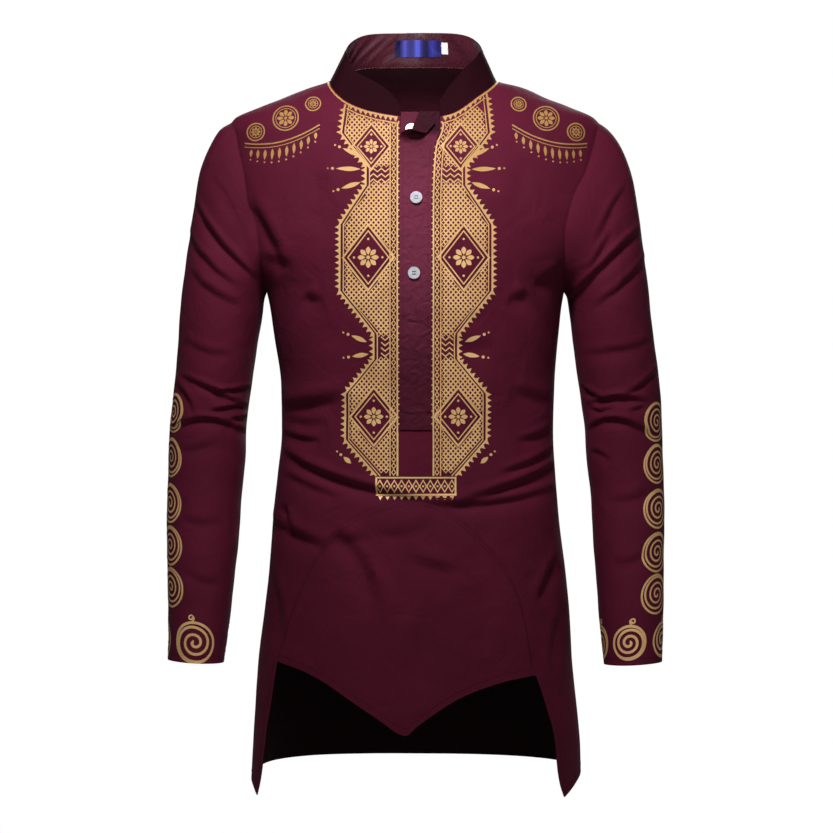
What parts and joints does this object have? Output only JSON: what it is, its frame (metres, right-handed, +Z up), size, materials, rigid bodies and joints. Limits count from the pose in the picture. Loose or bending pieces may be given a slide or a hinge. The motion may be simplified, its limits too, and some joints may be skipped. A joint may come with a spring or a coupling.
{
  "type": "stand-collar shirt",
  "caption": "Long stand-collar pullover shirt, hollow as worn: half placket with white buttons, long sleeves, arched front seam, pointed apron hem and side tails.",
  "frame": {"origin": "middle of the shoulder line between the two neck points, at the height of the neck points, where the worn shirt hangs", "axes": "+Z up, -Y out of the front, +X to the wearer's left"},
  "size_m": [0.5713, 0.252, 0.8793],
  "materials": {
    "shirt_cloth": "matt woven cotton blend, wine red",
    "collar_cloth": "matt woven, darker wine red",
    "placket_cloth": "soft sheen, wine red",
    "button": "pearly white resin",
    "label_satin": "blue satin ribbon, blank",
    "tab_tape": "white woven tape, blank"
  },
  "bodies": {
    "root": {"front": "shirt_cloth", "apron": "shirt_cloth", "back": "shirt_cloth", "sleeve_right": "shirt_cloth", "sleeve_left": "shirt_cloth", "collar": "collar_cloth", "placket_under": "placket_cloth", "placket_upper": "placket_cloth", "button_top": "button", "button_middle": "button", "button_low": "button", "neck_label": "label_satin", "size_tab": "tab_tape"}
  },
  "joints": []
}
